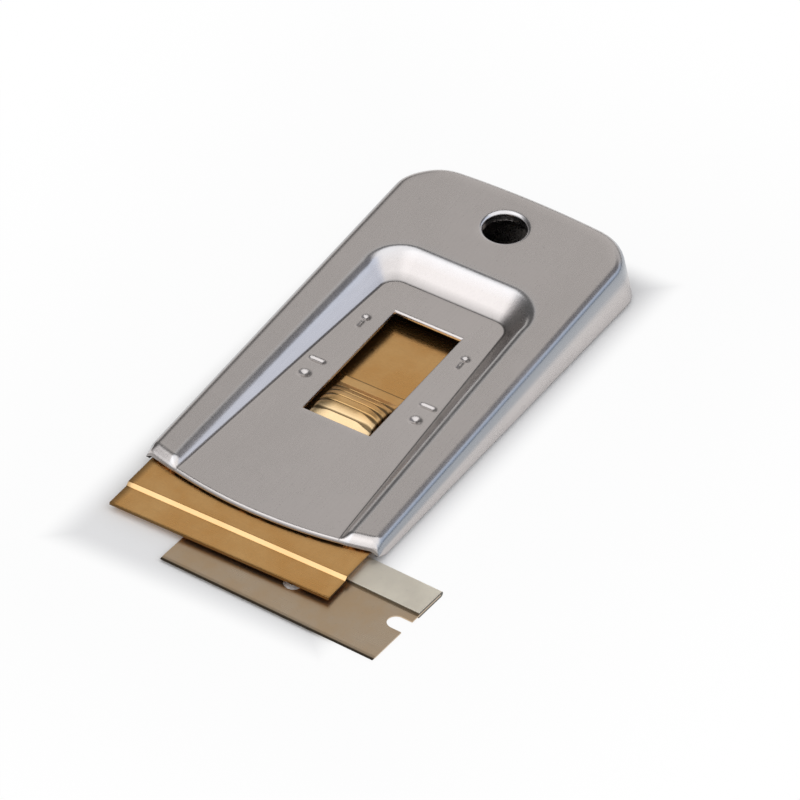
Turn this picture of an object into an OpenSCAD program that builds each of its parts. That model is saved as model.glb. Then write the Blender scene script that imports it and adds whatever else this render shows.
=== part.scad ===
// Pocket scraper for single-edge razor blades, with a retracting slide and one loose blade.
// Millimetres, +Z up, blade end towards -Y, underside of the tray at z = 0.

/* [Shell] */
// Length of the shell from its front corners to the middle of its rear edge
shell_length = 80.4; // [75:0.2:100]
// Width across the lower edges of the side walls
shell_width = 41.2; // [40.8:0.2:50]
// Thickness of the shell's sheet
shell_sheet = 0.6; // [0.45:0.05:0.8]
// Height of the lower edges of the walls above the resting surface
wall_lift = 0.7; // [0.3:0.05:0.9]
// Height of the rim at the front corners
rim_front = 4; // [3.9:0.1:6]
// Height of the rim at the rear edge
rim_rear = 9.8; // [9:0.1:14]
// Outward lean of the walls, in degrees
wall_lean = 3.5; // [0.5:0.5:6]
// Plan radius of the two rear corners
corner_radius = 5; // [4:0.5:9]
// How far the rear edge bows out between its corners
rear_bow = 0.8; // [0.4:0.1:1.5]
// How far the front edge bows out ahead of its corners
front_bow = 3.1; // [2:0.1:3.5]
// Radius that rolls the front ends of the rails down
nose_radius = 1.3; // [1:0.1:1.6]
// Setback of the rounded rail ends from the front corners, negative is forward
nose_setback = -0.9; // [-1:0.1:0]
// Length of the cut at the lower front corner of each wall
corner_cut_length = 3.2; // [2.6:0.2:5]
// Height of that cut
corner_cut_height = 1.25; // [0.9:0.05:1.6]

/* [Recess] */
// Half width of the sunk panel at its front
panel_front_half = 14.6; // [12:0.2:15]
// Half width of the sunk panel at its rear
panel_rear_half = 11; // [10.5:0.1:13]
// Distance of the panel's rear edge from the shell's rear edge
panel_setback = 25.5; // [24:0.1:27]
// Height of the panel's upper face at its rear edge
panel_rear_height = 4.82; // [4.4:0.05:5.5]
// Corner radius of the panel at its rear
panel_corner = 2.8; // [1.5:0.1:4]
// Sideways run of the side slopes for each mm of height
side_run = 1; // [0.7:0.05:1.1]
// Rearward run of the rear slope for each mm of height
rear_run = 1.35; // [0.8:0.05:1.4]

/* [Window and dents] */
// Width of the window
window_width = 12; // [11:0.2:14]
// Length of the window
window_length = 27.1; // [24:0.1:28]
// Distance of the window's rear edge from the shell's rear edge
window_setback = 32.1; // [31:0.1:34]
// Distance of the first two dents from the side of the window
dent_gap = 3.9; // [3.4:0.1:4.2]
// Distance of the first, round dent from the window's front edge
dent_start = 6.9; // [6:0.1:8]
// Distance from the first dent to the working dent
dent_work = 3.65; // [3.2:0.05:5]
// Diameter of the first dent
dent_diameter = 2; // [1.4:0.1:2.4]
// Depth of a dent
dent_depth = 0.35; // [0.2:0.05:0.4]
// Length of the bar-shaped working dent
bar_length = 3.2; // [2:0.1:4]
// Width of the working dent
bar_width = 1; // [0.8:0.1:1.4]
// Diameter of the dent for the drawn-back position
rest_diameter = 1.4; // [1:0.1:2]
// Length of the fine stroke ahead of that dent
stroke_length = 2; // [1:0.1:3]
// Width of the stroke
stroke_width = 0.5; // [0.4:0.05:0.8]
// Depth of the stroke
stroke_depth = 0.17; // [0.1:0.01:0.2]
// Distance of the drawn-back dent and its stroke from the side of the window
rest_gap = 2.9; // [2.4:0.1:3.4]

/* [Hang hole] */
// Bore radius of the hang hole
hang_radius = 3.5; // [2.5:0.1:4]
// Distance of the hang hole's middle from the shell's rear edge
hang_setback = 9.5; // [8:0.1:10]
// Depth of the drawn collar round the hang hole
collar_depth = 1.6; // [1.2:0.1:3]
// Width of the flat ledge inside the collar's rounded mouth
collar_ledge = 0.1; // [0.05:0.05:0.3]

/* [Tray] */
// Thickness of the tray's sheet
tray_sheet = 0.6; // [0.4:0.05:0.8]
// Height of the tray's upturned flange
tray_flange = 3; // [2:0.1:3.4]
// Front edge of the tray, from the front corners
tray_front = 2.4; // [2.4:0.1:6]
// Start of the upturned flange, from the front corners
flange_front = 24; // [22:0.5:30]

/* [Slide] */
// Thickness of the slide's sheet
slide_sheet = 0.45; // [0.35:0.05:0.55]
// Reach of the slide ahead of the front corners in the blade-change position
slide_reach = 12.2; // [11:0.1:13]
// Distance from the slide's front edge back to the joggle
lip_length = 4.7; // [4:0.1:6]
// Step down of the joggle
joggle = 0.55; // [0.45:0.05:0.6]
// Where the slide narrows to its tail, from the front corners
tail_start = 3; // [1:0.2:5]
// Corner radius of the slide's front
slide_corner = 0.4; // [0.2:0.1:2]
// Rear end of the runners under the tail, short of the slide's rear end
runner_setback = 1.5; // [1:0.1:6]
// Front end of the runners, from the front corners
runner_front = 8; // [5:0.5:12]

/* [Thumb grip] */
// Length of the ribbed part of the grip
grip_length = 9.6; // [8.4:0.2:10]
// Number of ribs
grip_ribs = 6; // [4:1:7]
// Rise of the highest rib above the flat apron
grip_rise = 2; // [1.2:0.1:2.6]
// Length of the flat apron behind the ribs
apron_length = 1.9; // [1:0.1:2]
// Shoulder radius of the ribs
grip_shoulder = 1.5; // [0.8:0.1:1.8]
// Length of the two tabs that hold the grip to the slide
tab_length = 4; // [2:0.2:5]
// Width of the tabs' bent feet under the slide
tab_foot = 2; // [1:0.1:3]

/* [Springs] */
// Width of a leaf spring
spring_width = 4; // [3:0.2:4.4]
// Thickness of a leaf spring
spring_sheet = 0.3; // [0.2:0.05:0.35]
// Length of a leaf spring
spring_length = 15; // [14:0.2:17]
// Length of a spring's raised tip
tip_length = 4; // [3:0.2:5]
// Lift of a spring's tip above its foot
spring_lift = 0.4; // [0.2:0.05:0.4]
// Shank radius of a spring rivet
rivet_radius = 0.8; // [0.6:0.05:1]
// Head radius of a spring rivet
rivet_head = 1.5; // [1.3:0.05:1.8]
// Head height of a spring rivet
rivet_height = 0.35; // [0.25:0.05:0.45]

/* [Blade] */
// Length of the blade along its cutting edge
blade_length = 38.1; // [37.9:0.1:38.2]
// Depth of the blade from cutting edge to back
blade_depth = 19.05; // [18.8:0.05:19.2]
// Thickness of the strip
strip_sheet = 0.23; // [0.2:0.01:0.3]
// Thickness of the folded spine
spine_thick = 1; // [0.95:0.05:1.1]
// Width of the folded spine
spine_width = 6.5; // [5:0.1:6.6]
// How deep the strip sits in the fold
strip_seat = 5.9; // [3:0.1:5.9]
// Width of the ground cutting edge
edge_width = 0.9; // [0.5:0.1:1.2]
// Width of the notch in each end
notch_width = 3; // [2.5:0.1:3.4]
// Depth of the notch in each end
notch_depth = 3.3; // [2:0.1:4]
// Distance of the notches from the cutting edge
notch_place = 9.25; // [8:0.05:9.5]
// Distance of the centre hole from the cutting edge
hole_place = 7.3; // [6:0.1:9]
// Radius of the centre hole
centre_hole = 1.5; // [1:0.1:1.8]
// Sideways place of the loose blade's middle
blade_x = 12.3; // [12:0.1:16]
// Place of its cutting edge at its middle, ahead of the front corners
blade_y = 18.6; // [18.4:0.1:24]
// Turn of the loose blade in plan, in degrees
blade_turn = -2.3; // [-2.5:0.1:0]

/* [Clearances] */
// Gap between the loose blade's spine and the slide's lip
blade_gap = 0.15; // [0.1:0.05:0.3]
// Gap between the slide and the shell's front edge
slide_gap = 0.3; // [0.1:0.05:0.4]
// Gap between the runners and the tray
runner_gap = 0.4; // [0.1:0.05:0.5]
// Gap between the shell's walls and the tray's flange
tray_fit = 0.04; // [0.02:0.01:0.08]
// Play between the slide's front and each wall of the shell
slide_play = 0.7; // [0.3:0.05:1]
// Play between the slide's tail and each flange of the tray
tail_play = 0.76; // [0.3:0.02:1]
// Gap between the drawn-back slide and the hang hole
tail_gap = 0.35; // [0.2:0.05:1]
// Gap between the window's front edge and the grip
grip_gap = 0.25; // [0.2:0.05:0.5]
// Gap between the grip and each side of the window
grip_play = 0.7; // [0.4:0.05:1.5]
// Gap between the drawn-back ribs and the window's rear edge
grip_stop = 0.9; // [0.3:0.1:2]
// Gap round the grip's tabs in the slide
tab_fit = 0.05; // [0.03:0.01:0.1]
// Gap round a rivet's shank
rivet_fit = 0.02; // [0.01:0.01:0.05]

/* [Hidden] */
$fn = 64;

// Reach of cutting blocks, overshoot of cuts, thickness of a hull's end layers
far = 3 * shell_length;
over = shell_sheet;
layer = shell_sheet / 60;

// Heights of the stack at the front, from the resting surface up
lip_under = spine_thick + blade_gap;
slide_top = lip_under + slide_sheet + joggle;
slide_under = slide_top - slide_sheet;
panel_front_height = slide_top + slide_gap + shell_sheet;

// Rounds a size to a micrometre, so that walls which run into each other meet exactly
function micron(size) = round(size * 1000) / 1000;

// Places along the shell, from its front corners
front_edge = -front_bow;
hang_place = shell_length - hang_setback;
panel_rear = shell_length - panel_setback;
window_front = shell_length - window_setback - window_length;
dent_first = window_front + dent_start;

// The slide's travel and its widths between the walls
travel = window_length - grip_gap - grip_length - grip_stop;
slide_rear = hang_place - hang_radius - tail_gap - travel;
slide_width = shell_width - 2 * (shell_sheet + slide_play);
tail_width = shell_width - 2 * (shell_sheet + tray_fit + tray_sheet + tail_play);
grip_width = window_width - 2 * grip_play;
dent_offset = window_width / 2 + dent_gap;
rest_offset = window_width / 2 + rest_gap;

// The rim and the panel as sloping planes
rim_slope = atan((rim_rear - rim_front) / shell_length);
panel_slope = atan((panel_rear_height - panel_front_height) / (panel_rear - front_edge));
function rim_z(y) = rim_front + y * tan(rim_slope);
function panel_z(y) = panel_front_height + (y - front_edge) * tan(panel_slope);

// Plan of the rear: two corner arcs that run into one wide bowed arc
corner_x = shell_width / 2 - corner_radius;
rear_radius = micron((corner_x * corner_x + rear_bow * rear_bow) / (2 * rear_bow));
rear_centre = shell_length - rear_radius;
corner_reach = rear_radius - corner_radius;
corner_y = rear_centre + sqrt(corner_reach * corner_reach - corner_x * corner_x);

// Plan of the front: one arc through both front corners, trimmed from blanks that reach past it
half_front = shell_width / 2;
front_radius = (half_front * half_front + front_bow * front_bow) / (2 * front_bow);
lead = 3 * front_bow;
mouth_rear = flange_front / 2;

// The part's origin lies in the middle of the tray's underside
origin_y = (tray_front + shell_length) / 2;

// Grip, springs and blade
grip_front = window_front + grip_gap;
grip_rear = grip_front + grip_length + apron_length;
rib_pitch = grip_length / grip_ribs;
tab_start = grip_front + grip_length / 2 - tab_length / 2;
spring_front = dent_first - tip_length / 2;
spring_rear = spring_front + spring_length;
rivet_y = spring_rear - spring_width / 2;
strip_z = spine_thick / 2;
strip_rear = blade_depth - spine_width + strip_seat;

// The grip's crown follows a sine between these angles
crown_start = 35;
crown_sweep = 145;

// Moves a piece from the front-corner datum to the part's origin
module seat() {
    translate([0, -origin_y, 0]) children();
}

// Extrudes a (y, z) profile sideways, centred on the middle line
module across(width) {
    rotate([90, 0, 90])
        translate([0, 0, -width / 2])
            linear_extrude(width)
                children();
}

// Everything inside the leaning walls, taken in from them by a wall offset
module envelope(inset, z0, z1, y0) {
    lean = tan(wall_lean);
    step = inset / cos(wall_lean);
    low = micron((z0 - wall_lift) * lean + step);
    high = micron((z1 - wall_lift) * lean + step);
    half = shell_width / 2;
    translate([0, corner_y, 0])
        rotate([90, 0, 0])
            linear_extrude(corner_y - y0)
                polygon([[low - half, z0], [half - low, z0], [half - high, z1], [high - half, z1]]);
    for (side = [-1, 1])
        translate([side * corner_x, corner_y, z0])
            cylinder(r1 = corner_radius - low, r2 = corner_radius - high, h = z1 - z0);
    reach = 1 + 2 * corner_radius / corner_reach;
    intersection() {
        translate([0, rear_centre, z0])
            cylinder(r1 = rear_radius - low, r2 = rear_radius - high, h = z1 - z0, $fn = 360);
        translate([0, 0, z0])
            linear_extrude(z1 - z0)
                polygon([
                    [-corner_x, corner_y],
                    [corner_x, corner_y],
                    [corner_x * reach, rear_centre + (corner_y - rear_centre) * reach],
                    [-corner_x * reach, rear_centre + (corner_y - rear_centre) * reach]
                ]);
    }
}

// Side profile under the rim, with its rolled nose, taken in by a sheet offset
module rim_profile(inset) {
    nose = nose_setback + inset;
    radius = nose_radius - inset;
    centre_y = nose_setback + nose_radius;
    centre_z = rim_z(centre_y) - nose_radius / cos(rim_slope);
    touch_y = centre_y - radius * sin(rim_slope);
    touch_z = centre_z + radius * cos(rim_slope);
    end_z = touch_z + (far - touch_y) * tan(rim_slope);
    polygon([[nose, -far], [nose, centre_z], [touch_y, touch_z], [far, end_z], [far, -far]]);
    translate([centre_y, centre_z]) circle(radius);
}

// Half space under the panel's upper face, lowered by an offset
module under_panel(drop) {
    translate([0, front_edge, panel_front_height])
        rotate([panel_slope, 0, 0])
            translate([-far / 2, -far / 2, -far - drop])
                cube([far, far, far]);
}

// The sunk recess with its sloping sides, grown by a sheet offset
module recess(grow) {
    length = panel_rear - front_edge;
    taper = (panel_front_half - panel_rear_half) / length;
    height = rim_rear - panel_front_height + over;
    translate([0, front_edge, panel_front_height])
        rotate([panel_slope, 0, 0])
            hull()
                for (h = [-grow, height], side = [-1, 1]) {
                    widen = side_run * h + grow * sqrt(1 + side_run * side_run);
                    lengthen = rear_run * h + grow * sqrt(1 + rear_run * rear_run);
                    corner = panel_corner + widen;
                    translate([side * (panel_rear_half - panel_corner), length + lengthen - corner, h])
                        cylinder(r = corner, h = layer, $fn = 48);
                    translate([side * (panel_front_half + taper * lead + widen), -lead, h])
                        cube(layer, center = true);
                }
}

// Puts a shape on the panel's upper face
module on_panel(x, y) {
    translate([x, y, panel_z(y)]) rotate([panel_slope, 0, 0]) children();
}

// A round dent, grown by a sheet offset
module round_dent(diameter, depth, grow) {
    ball = (diameter * diameter / 4 + depth * depth) / (2 * depth);
    translate([0, 0, ball - depth]) sphere(ball + grow);
}

// A straight dent lying across the panel, grown by a sheet offset
module bar_dent(length, width, depth, grow) {
    roll = (width * width / 4 + depth * depth) / (2 * depth);
    translate([0, 0, roll - depth])
        rotate([0, 90, 0])
            cylinder(r = roll + grow, h = length + 2 * grow, center = true);
}

// All the dents of the panel, cut from above or standing proud below
module dents(grow) {
    for (side = [-1, 1]) {
        on_panel(side * dent_offset, dent_first) round_dent(dent_diameter, dent_depth, grow);
        on_panel(side * dent_offset, dent_first + dent_work)
            bar_dent(bar_length, bar_width, dent_depth, grow);
        on_panel(side * rest_offset, dent_first + travel)
            round_dent(rest_diameter, dent_depth, grow);
        on_panel(side * rest_offset, dent_first + travel - (rest_diameter + stroke_length) / 2)
            rotate([0, 0, 90])
                bar_dent(stroke_length, stroke_width, stroke_depth, grow / 2);
    }
}

// The drawn rounding at the mouth of the hang hole
module collar_mouth() {
    round = shell_sheet;
    outer = hang_radius + collar_ledge + round;
    translate([0, hang_place, rim_z(hang_place)])
        rotate([rim_slope, 0, 0])
            rotate_extrude()
                difference() {
                    translate([0, -round]) square([outer, round + over]);
                    translate([outer, -round]) circle(round);
                }
}

module top_shell() {
    color([0.66, 0.65, 0.64]) seat() difference() {
        union() {
            difference() {
                intersection() {
                    envelope(0, wall_lift, rim_rear + over, -lead);
                    union() {
                        across(far) rim_profile(0);
                        under_panel(0);
                    }
                    translate([0, front_edge + front_radius, -over])
                        cylinder(r = front_radius, h = far, $fn = 360);
                }
                recess(0);
                difference() {
                    intersection() {
                        envelope(shell_sheet, wall_lift - over, rim_rear + over, -lead - over);
                        union() {
                            across(far) rim_profile(shell_sheet);
                            intersection() {
                                under_panel(shell_sheet);
                                translate([-far / 2, -far, -far / 2])
                                    cube([far, far + mouth_rear, far]);
                            }
                        }
                    }
                    recess(shell_sheet);
                }
            }
            intersection() {
                dents(shell_sheet);
                under_panel(shell_sheet / 2);
            }
            intersection() {
                translate([0, hang_place, rim_z(hang_place) - collar_depth])
                    cylinder(r = hang_radius + shell_sheet, h = collar_depth + over);
                across(far) rim_profile(0);
            }
        }
        dents(0);
        collar_mouth();
        translate([0, hang_place, 0]) cylinder(r = hang_radius, h = far);
        translate([-window_width / 2, window_front, slide_top])
            cube([window_width, window_length, far]);
        across(far)
            polygon([
                [-far, -far],
                [-far, wall_lift + corner_cut_height],
                [nose_setback, wall_lift + corner_cut_height],
                [nose_setback + corner_cut_length, wall_lift],
                [nose_setback + corner_cut_length, -far]
            ]);
    }
}

module bottom_tray() {
    outer = shell_sheet + tray_fit;
    color([0.62, 0.61, 0.6]) seat() difference() {
        envelope(outer, 0, tray_flange, tray_front);
        envelope(outer + tray_sheet, tray_sheet, tray_flange + over, tray_front - over);
        translate([-far / 2, tray_front - over, tray_sheet])
            cube([far, flange_front - tray_front + over, far]);
        translate([0, hang_place, -over]) cylinder(r = hang_radius, h = far);
    }
}

// Side profile of the slide's sheet, bent down at the joggle
module slide_profile() {
    bend = slide_sheet * tan(22.5);
    front = -slide_reach;
    step = front + lip_length;
    top = slide_top - joggle;
    polygon([
        [slide_rear, slide_top],
        [step + joggle, slide_top],
        [step, top],
        [front, top],
        [front, lip_under],
        [step + bend, lip_under],
        [step + joggle + bend, slide_under],
        [slide_rear, slide_under]
    ]);
}

module slide_plate() {
    wide = slide_width / 2;
    color([0.75, 0.57, 0.36]) seat() difference() {
        union() {
            intersection() {
                across(far) slide_profile();
                linear_extrude(far)
                    union() {
                        translate([-tail_width / 2, 0]) square([tail_width, slide_rear + over]);
                        translate([-wide, slide_corner - slide_reach])
                            square([slide_width, slide_reach - slide_corner + tail_start]);
                        translate([slide_corner - wide, -slide_reach])
                            square([slide_width - 2 * slide_corner, slide_reach]);
                        for (side = [-1, 1])
                            translate([side * (wide - slide_corner), slide_corner - slide_reach])
                                circle(slide_corner);
                    }
            }
            for (side = [-1, 1])
                translate([
                    side * (tail_width - slide_sheet) / 2 - slide_sheet / 2,
                    runner_front,
                    tray_sheet + runner_gap
                ])
                    cube([
                        slide_sheet,
                        slide_rear - runner_setback - runner_front,
                        slide_top - tray_sheet - runner_gap
                    ]);
        }
        for (side = [-1, 1]) {
            translate([side * dent_offset, rivet_y, 0]) cylinder(r = rivet_radius + rivet_fit, h = far);
            translate([
                side * (grip_width - slide_sheet) / 2 - slide_sheet / 2 - tab_fit,
                tab_start - tab_fit,
                0
            ])
                cube([slide_sheet + 2 * tab_fit, tab_length + 2 * tab_fit, far]);
        }
    }
}

// Height of the grip's crown above the slide, from 0 at the front to 1 at the last rib
function crown(t) = slide_sheet + grip_rise * sin(crown_start + crown_sweep * t);

// Cross-section of a rib, with rounded shoulders, taken in by the sheet
module rib_section(height, inset) {
    half = grip_width / 2 - inset;
    top = height - inset;
    shoulder = min(grip_shoulder, top - layer);
    translate([-half, 0]) square([2 * half, top - shoulder]);
    translate([shoulder - half, 0]) square([2 * (half - shoulder), top]);
    for (side = [-1, 1])
        translate([side * (half - shoulder), top - shoulder]) circle(shoulder);
}

// One block of the grip between two places along it
module rib_block(y0, y1, height, inset) {
    translate([0, y1, slide_top])
        rotate([90, 0, 0])
            linear_extrude(y1 - y0)
                intersection() {
                    rib_section(height, inset);
                    translate([-far / 2, 0]) square([far, far]);
                }
}

module thumb_grip() {
    under = slide_under - slide_sheet;
    color([0.76, 0.58, 0.37]) seat() union() {
        difference() {
            union() {
                for (i = [0 : grip_ribs - 1])
                    rib_block(
                        grip_front + i * rib_pitch,
                        grip_front + (i + 1) * rib_pitch,
                        crown(i / grip_ribs),
                        0
                    );
                translate([-grip_width / 2, grip_rear - apron_length, slide_top])
                    cube([grip_width, apron_length, slide_sheet]);
            }
            for (i = [0 : grip_ribs - 2])
                rib_block(
                    grip_front + (i == 0 ? slide_sheet : i * rib_pitch - slide_sheet),
                    grip_front + (i + 1) * rib_pitch - slide_sheet,
                    min(crown(i / grip_ribs), i == 0 ? far : crown((i - 1) / grip_ribs) + slide_sheet),
                    slide_sheet
                );
        }
        for (side = [-1, 1]) {
            translate([side * (grip_width - slide_sheet) / 2 - slide_sheet / 2, tab_start, under])
                cube([slide_sheet, tab_length, slide_top + slide_sheet - under]);
            translate([side * (grip_width - tab_foot) / 2 - tab_foot / 2, tab_start, under])
                cube([tab_foot, tab_length, slide_sheet]);
        }
    }
}

// A leaf spring on the slide, with a raised tip that clicks on the dents
module spring(side) {
    foot = spring_rear - spring_length / 2;
    tip = spring_front + tip_length;
    z = slide_top;
    translate([side * dent_offset, 0, 0]) difference() {
        across(spring_width)
            polygon([
                [spring_rear, z],
                [foot, z],
                [tip, z + spring_lift],
                [spring_front, z + spring_lift],
                [spring_front, z + spring_lift + spring_sheet],
                [tip, z + spring_lift + spring_sheet],
                [foot, z + spring_sheet],
                [spring_rear, z + spring_sheet]
            ]);
        translate([0, rivet_y, 0]) cylinder(r = rivet_radius + rivet_fit, h = far);
        translate([0, dent_first, 0]) cylinder(r = dent_diameter / 2, h = far);
    }
}

module spring_left() {
    color([0.58, 0.58, 0.6]) seat() spring(-1);
}

module spring_right() {
    color([0.58, 0.58, 0.6]) seat() spring(1);
}

// A rivet through the slide and a spring's foot
module spring_rivet(side) {
    foot_top = slide_top + spring_sheet;
    translate([side * dent_offset, rivet_y, 0]) {
        translate([0, 0, slide_under - rivet_height])
            cylinder(r = rivet_head, h = rivet_height);
        translate([0, 0, slide_under - rivet_height])
            cylinder(r = rivet_radius, h = foot_top - slide_under + 2 * rivet_height);
        translate([0, 0, foot_top])
            cylinder(r1 = rivet_head, r2 = rivet_radius, h = rivet_height);
    }
}

module spring_rivet_left() {
    color([0.7, 0.7, 0.71]) seat() spring_rivet(-1);
}

module spring_rivet_right() {
    color([0.7, 0.7, 0.71]) seat() spring_rivet(1);
}

// Places the loose blade: its cutting edge lies along X before the turn
module blade_place() {
    translate([blade_x, -blade_y, 0]) rotate([0, 0, blade_turn]) children();
}

module blade_strip() {
    half = strip_sheet / 2;
    notch_x = blade_length / 2 - notch_depth + notch_width / 2;
    cut = spine_thick + 2 * over;
    color([0.63, 0.56, 0.48]) seat() blade_place() difference() {
        across(blade_length)
            polygon([
                [0, strip_z],
                [edge_width, strip_z + half],
                [strip_rear, strip_z + half],
                [strip_rear, strip_z - half],
                [edge_width, strip_z - half]
            ]);
        translate([0, hole_place, -over]) cylinder(r = centre_hole, h = cut);
        for (side = [-1, 1])
            translate([side * notch_x, notch_place, -over]) {
                cylinder(r = notch_width / 2, h = cut);
                rotate([0, 0, 90 - 90 * side])
                    translate([0, -notch_width / 2, 0])
                        cube([notch_depth, notch_width, cut]);
            }
    }
}

module blade_spine() {
    round = spine_thick / 2;
    start = blade_depth - spine_width;
    color([0.79, 0.76, 0.7]) seat() blade_place() difference() {
        across(blade_length)
            union() {
                translate([start, 0]) square([spine_width - round, spine_thick]);
                translate([blade_depth - round, round]) circle(round);
            }
        translate([-blade_length, start - over, strip_z - strip_sheet / 2])
            cube([2 * blade_length, strip_seat + over, strip_sheet]);
    }
}

top_shell();
bottom_tray();
slide_plate();
thumb_grip();
spring_left();
spring_right();
spring_rivet_left();
spring_rivet_right();
blade_strip();
blade_spine();
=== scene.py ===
"""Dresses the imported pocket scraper: pressed steel shell, brass-plated slide and grip, loose blade."""

import math

import bmesh
import bpy
from mathutils import Matrix, Vector


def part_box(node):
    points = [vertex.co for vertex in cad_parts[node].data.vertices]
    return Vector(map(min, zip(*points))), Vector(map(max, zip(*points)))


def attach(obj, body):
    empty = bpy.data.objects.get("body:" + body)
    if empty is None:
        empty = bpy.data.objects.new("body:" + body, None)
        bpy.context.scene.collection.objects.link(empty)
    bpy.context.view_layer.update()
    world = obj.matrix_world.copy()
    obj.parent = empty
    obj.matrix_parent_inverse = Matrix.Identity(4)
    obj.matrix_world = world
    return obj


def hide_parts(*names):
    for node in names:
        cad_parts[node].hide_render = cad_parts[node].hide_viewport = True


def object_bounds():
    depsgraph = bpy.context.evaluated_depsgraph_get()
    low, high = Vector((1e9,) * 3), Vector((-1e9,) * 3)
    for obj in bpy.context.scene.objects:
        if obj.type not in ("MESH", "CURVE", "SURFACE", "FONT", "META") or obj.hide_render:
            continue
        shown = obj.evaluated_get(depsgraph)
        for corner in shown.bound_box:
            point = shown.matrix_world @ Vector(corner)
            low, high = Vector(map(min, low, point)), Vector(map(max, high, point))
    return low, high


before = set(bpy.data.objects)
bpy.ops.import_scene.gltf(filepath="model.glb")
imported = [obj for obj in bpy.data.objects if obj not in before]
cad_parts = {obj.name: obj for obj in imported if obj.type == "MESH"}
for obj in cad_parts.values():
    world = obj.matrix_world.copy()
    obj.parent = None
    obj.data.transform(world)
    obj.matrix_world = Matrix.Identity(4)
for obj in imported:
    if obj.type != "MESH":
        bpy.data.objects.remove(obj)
cad_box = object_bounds()

bl_info = {
    "name": "Pocket Scraper Dressing",
    "version": (1, 0, 0),
    "blender": (4, 5, 0),
    "location": "View3D > Sidebar > Scraper",
    "description": "Builds the visible pieces of a pocket scraper for single-edge blades",
    "category": "Object",
}

MM = 0.001

def packed_box(node):
    """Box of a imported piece, in millimetres of the part's own frame."""
    low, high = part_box(node)
    return low / MM, high / MM


SHELL_LOW, SHELL_HIGH = packed_box("top_shell")
SLIDE_LOW, SLIDE_HIGH = packed_box("slide_plate")
GRIP_LOW, GRIP_HIGH = packed_box("thumb_grip")


# Property helpers: lengths are shown in the scene's units

def length_prop(name, description, millimetres):
    return bpy.props.FloatProperty(
        name=name, description=description, default=millimetres * MM, min=0.0, precision=5,
        subtype="DISTANCE", unit="LENGTH",
    )


def colour_prop(name, description, colour):
    return bpy.props.FloatVectorProperty(
        name=name, description=description, default=colour, size=3, min=0.0, max=1.0, subtype="COLOR",
    )


def factor_prop(name, description, value):
    return bpy.props.FloatProperty(
        name=name, description=description, default=value, min=0.0, max=1.0, subtype="FACTOR",
    )


class ScraperShellSizes(bpy.types.PropertyGroup):
    """Bends and edges of the pressed shell"""

    sheet: length_prop("Sheet", "Thickness of the shell's sheet", 0.6)
    fold_radius: length_prop("Fold radius", "Radius of the fold between rim and side walls", 1.5)
    rear_fold: length_prop("Rear fold", "Radius of the fold round the rear", 2.2)
    top_corner: length_prop("Top corner", "Plan radius of the rear corners at the fold", 8.5)
    brow_radius: length_prop("Brow radius", "Radius where the recess drops off the rim", 2.2)
    panel_radius: length_prop("Panel radius", "Radius where the slopes meet the sunk panel", 0.7)
    nose_radius: length_prop("Nose radius", "Radius that rolls the rails down at the front", 2.2)
    lip_radius: length_prop("Lip radius", "Radius that rolls the panel's front edge down", 0.6)
    hole_rounding: length_prop("Hole rounding", "Rounding of the hang hole's mouth", 0.6)
    window_edge: length_prop("Window edge", "Rounding of the window's upper side edges", 0.1)
    window_back: length_prop("Window rear edge", "Rounding of the window's upper rear edge", 0.42)
    edge_break: length_prop("Edge break", "Width of the broken sheet edges", 0.06)


class ScraperSlideSizes(bpy.types.PropertyGroup):
    """Bends and edges of the slide and the thumb grip"""

    sheet: length_prop("Sheet", "Thickness of the slide's sheet", 0.45)
    bend_radius: length_prop("Bend radius", "Upper radius of the joggle's two bends", 0.35)
    edge_break: length_prop("Edge break", "Width of the broken sheet edges", 0.05)
    groove_depth: length_prop("Groove depth", "Depth of the grooves between the grip's ribs", 0.14)
    shoulder: length_prop("Shoulder", "Width of the grip's rounded shoulders", 3.6)


class ScraperFinishes(bpy.types.PropertyGroup):
    """Colours of the metals"""

    shell: colour_prop("Shell", "Tumbled steel of the shell", (0.64, 0.595, 0.575))
    # Painted shade and reflection: a darker colour laid over the walls below the fold
    drawn: colour_prop("Drawn walls", "Die-scuffed steel of the shell's walls", (0.30, 0.325, 0.36))
    # Rubbed wear with a painted highlight: the lighter steel on the bends
    rubbed_and_highlight: colour_prop("Rubbed steel", "Steel where the bends have rubbed", (0.70, 0.70, 0.72))
    tray: colour_prop("Tray", "Rolled steel of the tray", (0.53, 0.50, 0.48))
    brass: colour_prop("Brass", "Brass plating of the slide", (0.71, 0.415, 0.16))
    grip: colour_prop("Grip", "Brass plating of the thumb grip", (0.84, 0.52, 0.22))
    blade: colour_prop("Blade", "Strip of the razor blade", (0.54, 0.43, 0.315))
    # Pale brass for rubbed wear with a painted highlight
    pale: colour_prop("Pale brass", "Brass plating where it is rubbed", (0.90, 0.68, 0.40))
    spine: colour_prop("Spine", "Folded spine of the razor blade", (0.96, 0.89, 0.76))
    spring: colour_prop("Springs", "Blued spring strip", (0.36, 0.37, 0.40))
    rivet: colour_prop("Rivets", "Headed wire", (0.60, 0.60, 0.61))
    # How strongly the rubbed wear and painted highlight on the bends show
    wear_and_highlight: factor_prop("Wear", "How bright the bends have rubbed", 0.5)


class ScraperStage(bpy.types.PropertyGroup):
    """Floor, light and camera"""

    floor: colour_prop("Floor", "Pale floor", (0.83, 0.815, 0.80))
    surround: bpy.props.FloatProperty(
        name="Surround", description="Level of the room's light", default=1.55, min=0.0, soft_max=2.0,
    )
    softbox: bpy.props.FloatProperty(
        name="Softbox", description="Power of the overhead softbox", default=0.6, min=0.0, unit="POWER",
    )
    glow: factor_prop("Floor glow", "Share of plain white in the floor beside the part", 0.92)
    distance: length_prop("Camera distance", "From the camera to the point it looks at", 1335.43)


def look(name):
    """One of the settings groups of the scene."""
    return getattr(bpy.context.scene, "scraper_" + name)


# Shader expressions

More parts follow.
